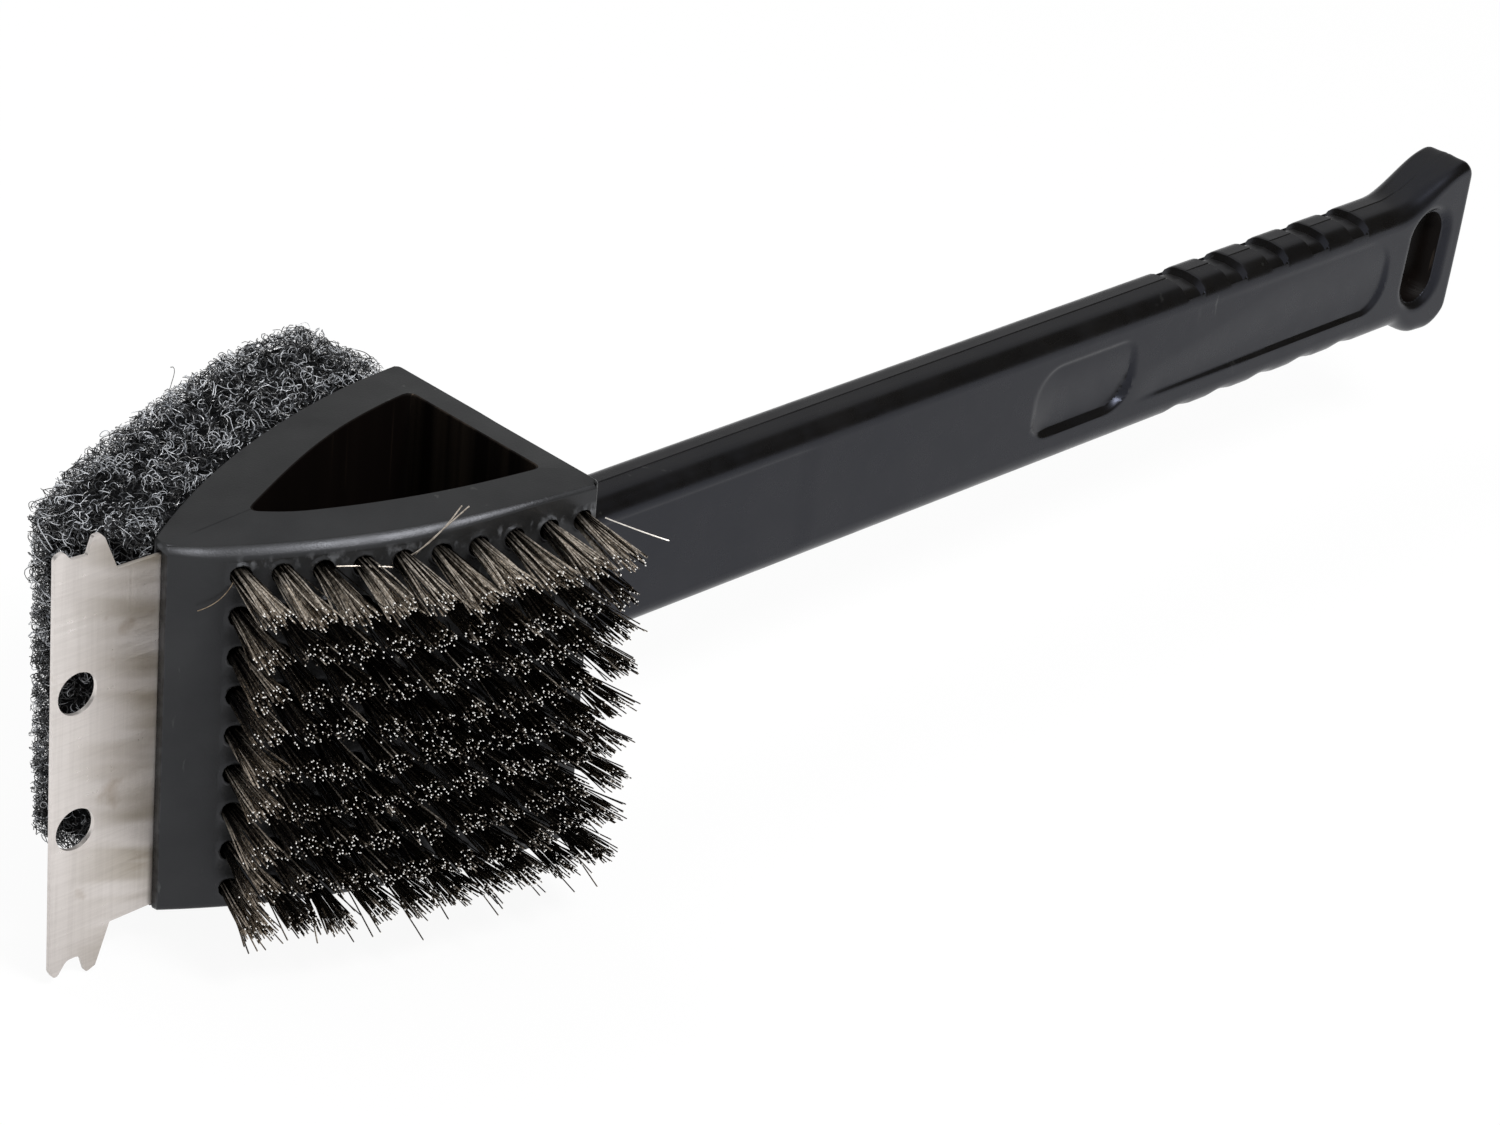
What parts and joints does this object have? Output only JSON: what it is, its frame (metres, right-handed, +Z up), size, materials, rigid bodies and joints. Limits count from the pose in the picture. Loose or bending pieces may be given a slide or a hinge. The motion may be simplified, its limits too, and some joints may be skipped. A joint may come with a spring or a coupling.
{
  "type": "grill cleaning brush",
  "caption": "Long-handled grill brush: a hollow wedge head with wire tufts on one side, a scouring pad on the other, a notched steel scraper at the tip, and a flat handle with a hanging slot.",
  "frame": {"origin": "centre of the hanging slot in the handle's flared end", "axes": "+X from the head towards the handle's end, +Y from the wire side to the pad side, square to the scraper plate, +Z up the head's prism"},
  "size_m": [0.3902, 0.098, 0.088],
  "materials": {
    "head_plastic": "fine matte moulded charcoal black",
    "handle_plastic": "satin black",
    "scraper_steel": "brushed along the plate",
    "pad_fibre": "open web of coarse black fibres",
    "wire_steel": "drawn steel wire, bright cut ends"
  },
  "bodies": {
    "root": {"head_body": "head_plastic", "handle": "handle_plastic", "scraper_plate": "scraper_steel", "scouring_pad": "pad_fibre", "wire_tufts_1": "wire_steel", "wire_tufts_2": "wire_steel", "wire_tufts_3": "wire_steel", "wire_tufts_4": "wire_steel"}
  },
  "joints": []
}
